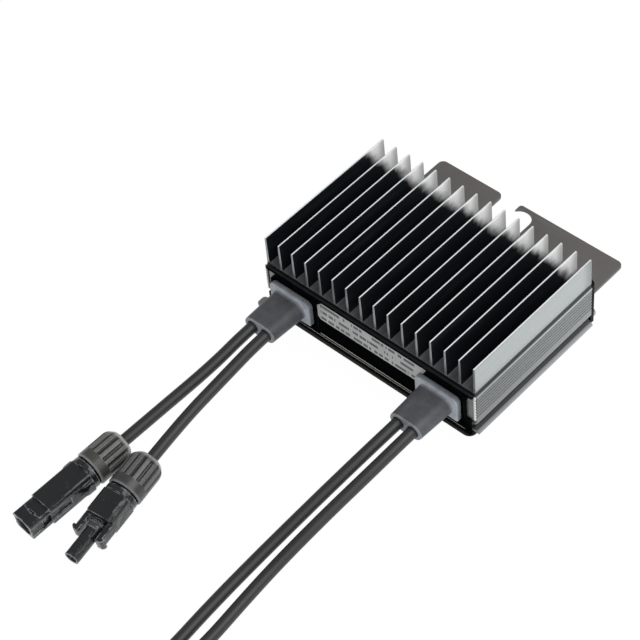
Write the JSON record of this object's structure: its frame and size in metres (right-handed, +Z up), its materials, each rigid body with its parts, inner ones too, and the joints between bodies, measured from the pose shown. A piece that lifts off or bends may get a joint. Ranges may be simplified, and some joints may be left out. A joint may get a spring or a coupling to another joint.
{
  "type": "power optimizer",
  "caption": "Finned power optimizer box with a hooked steel mounting plate, double cable glands and leads that end in locking solar connectors.",
  "frame": {"origin": "on the underside of the steel plate, under the middle of the heat sink's fins", "axes": "+Z up through the fins, +Y along the fins towards the bolt hook, +X across the fins towards the output gland"},
  "size_m": [0.2025, 0.4335, 0.0495],
  "materials": {
    "heat_sink": "black-bodied extrusion with bright worn fin edges and satin ribbed sides",
    "end_plate": "satin",
    "steel_plate": "brushed, warm grey",
    "screw_steel": "plain zinc",
    "tray_plastic": "fine moulded grain",
    "bezel_plastic": "semi-gloss moulded",
    "seal_rubber": "matt",
    "label_foil": "bare satin foil",
    "gland_rubber": "satin moulded",
    "board_laminate": "green lacquer",
    "ferrite": "matt",
    "copper": "lacquered copper",
    "pad_silicone": "soft",
    "chip_plastic": "moulded",
    "capacitor_sleeve": "shrunk sleeve",
    "tin_plate": "tin plated",
    "nut_plastic": "satin moulded",
    "connector_plastic": "satin moulded",
    "cable_jacket": "satin jacket"
  },
  "bodies": {
    "root": {"circuit_board": "board_laminate", "control_chip": "chip_plastic", "front_bezel": "bezel_plastic", "front_end_plate": "end_plate", "front_seal": "seal_rubber", "gap_pad": "pad_silicone", "heat_sink": "heat_sink", "housing_tray": "tray_plastic", "input_a_clamp_nut": "nut_plastic", "input_a_contact": "tin_plate", "input_a_lead_seal": "seal_rubber", "input_a_socket_body": "connector_plastic", "input_b_clamp_nut": "nut_plastic", "input_b_contact": "tin_plate", "input_b_lead_seal": "seal_rubber", "input_b_plug_body": "connector_plastic", "input_capacitor_1": "capacitor_sleeve", "input_capacitor_2": "capacitor_sleeve", "input_conductor_a": "copper", "input_conductor_b": "copper", "input_gland": "gland_rubber", "input_lead_a": "cable_jacket", "input_lead_b": "cable_jacket", "input_terminal_a": "tin_plate", "input_terminal_b": "tin_plate", "lid_seal": "seal_rubber", "mounting_plate": "steel_plate", "output_a_clamp_nut": "nut_plastic", "output_a_contact": "tin_plate", "output_a_lead_seal": "seal_rubber", "output_a_plug_body": "connector_plastic", "output_b_clamp_nut": "nut_plastic", "output_b_contact": "tin_plate", "output_b_lead_seal": "seal_rubber", "output_b_socket_body": "connector_plastic", "output_capacitor_1": "capacitor_sleeve", "output_capacitor_2": "capacitor_sleeve", "output_conductor_a": "copper", "output_conductor_b": "copper", "output_gland": "gland_rubber", "output_lead_a": "cable_jacket", "output_lead_a_coil": "cable_jacket", "output_lead_a_tail": "cable_jacket", "output_lead_b": "cable_jacket", "output_lead_b_coil": "cable_jacket", "output_lead_b_tail": "cable_jacket", "output_terminal_a": "tin_plate", "output_terminal_b": "tin_plate", "plate_screws": "screw_steel", "power_inductor_core": "ferrite", "power_inductor_winding": "copper", "power_transistor_1": "chip_plastic", "power_transistor_2": "chip_plastic", "power_transistor_3": "chip_plastic", "power_transistor_4": "chip_plastic", "rating_label": "label_foil", "rear_cover": "tray_plastic", "rear_cover_screws": "screw_steel", "rear_seal": "seal_rubber"}
  },
  "joints": []
}
